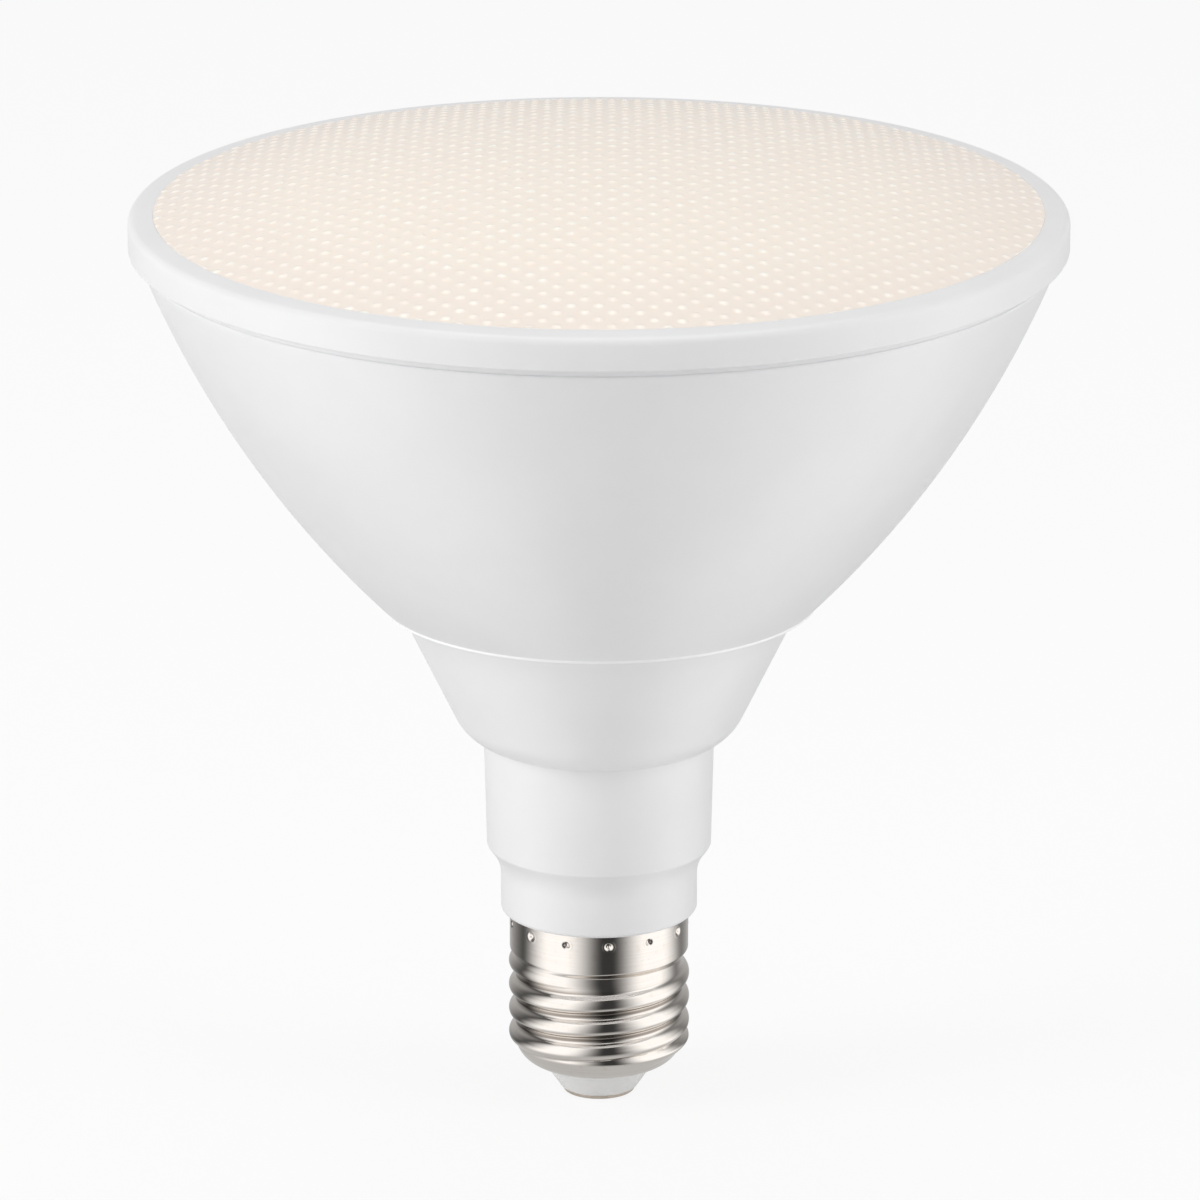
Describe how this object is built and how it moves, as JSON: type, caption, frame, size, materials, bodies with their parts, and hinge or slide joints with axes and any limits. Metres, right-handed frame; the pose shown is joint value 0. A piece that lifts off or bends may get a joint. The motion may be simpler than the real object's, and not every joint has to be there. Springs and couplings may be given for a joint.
{
  "type": "par spotlight bulb",
  "caption": "Reflector spotlight lamp: patterned domed lens in a rounded bezel, bowl-shaped plastic housing, stepped neck and Edison screw cap.",
  "frame": {"origin": "centre of the contact tip, at the lowest point of the screw cap", "axes": "+Z along the lamp axis from the contact to the lens, +X and +Y across the lens"},
  "size_m": [0.1334, 0.1334, 0.1403],
  "materials": {
    "white_housing": "satin moulded plastic",
    "lens": "translucent moulded plastic with small lens bumps",
    "seal": "matt silicone",
    "nickel": "nickel-plated brass sheet",
    "insulator": "smooth white insulator",
    "contact": "dull contact metal",
    "aluminium": "pressed sheet",
    "reflector": "white reflecting plastic",
    "white_board": "white solder mask",
    "light_source": "phosphor in a white frame",
    "screw_steel": "zinc-plated",
    "circuit_board": "green solder mask",
    "capacitor_sleeve": "dark shrink sleeve",
    "film_capacitor": "yellow box",
    "black_package": "black moulding compound",
    "ferrite": "sintered ferrite",
    "winding_tape": "yellow winding tape",
    "resistor_coat": "cement coat",
    "lead_white": "wire insulation",
    "lead_red": "wire insulation",
    "lead_black": "wire insulation"
  },
  "bodies": {
    "root": {"screw_shell": "nickel", "base_insulator": "insulator", "centre_contact": "contact", "lower_housing": "white_housing", "upper_housing": "white_housing", "bezel_ring": "white_housing", "lens_seal": "seal", "lens": "lens", "heat_sink": "aluminium", "reflector": "reflector", "led_board": "white_board", "led_packages": "light_source", "board_screws": "screw_steel", "housing_screws": "screw_steel", "driver_board": "circuit_board", "bulk_capacitor": "capacitor_sleeve", "output_capacitor": "capacitor_sleeve", "film_capacitor": "film_capacitor", "bridge_rectifier": "black_package", "controller_chip": "black_package", "choke": "ferrite", "fuse_resistor": "resistor_coat", "transformer_core": "ferrite", "transformer_winding": "winding_tape", "live_lead": "lead_white", "neutral_lead": "lead_black", "led_lead_positive": "lead_red", "led_lead_negative": "lead_black"}
  },
  "joints": []
}
